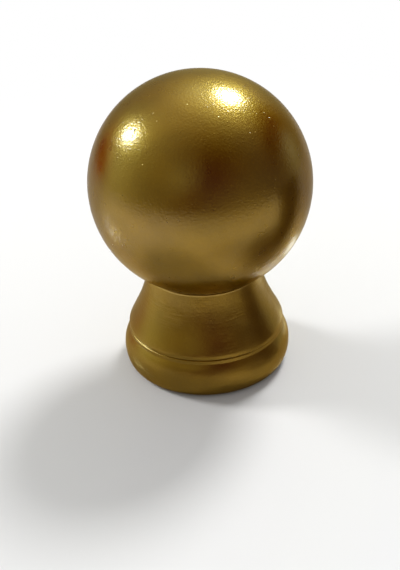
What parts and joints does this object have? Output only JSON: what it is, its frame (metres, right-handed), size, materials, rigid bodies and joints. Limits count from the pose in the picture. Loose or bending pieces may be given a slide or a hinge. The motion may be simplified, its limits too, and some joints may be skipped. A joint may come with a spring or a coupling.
{
  "type": "curtain pole finial",
  "caption": "Ball finial for a round curtain pole: a smooth ball in the cupped top of a flared collar with a rounded bead, whose blind socket slips over the pole's end and takes a grub screw",
  "frame": {"origin": "The centre of the collar's foot, in the flat plane that faces along the pole, which is the bottom centre of the bounding box.", "axes": "+Z runs along the pole's axis, from the foot up through the ball. +Y points to the back, where the grub screw is. +X completes the right-handed frame."},
  "size_m": [0.05, 0.05, 0.0705],
  "materials": {
    "ball_finish": "satin gold lacquer over turned aluminium, smooth with a fine orange peel",
    "collar_finish": "satin gold lacquer over turned aluminium, with fine turning lines round it",
    "screw_zinc": "bright zinc plate on steel",
    "screw_black": "black oxide on steel"
  },
  "bodies": {
    "root": {"ball": "ball_finish", "collar": "collar_finish", "ball_screw": "screw_zinc", "grub_screw": "screw_black"}
  },
  "joints": []
}
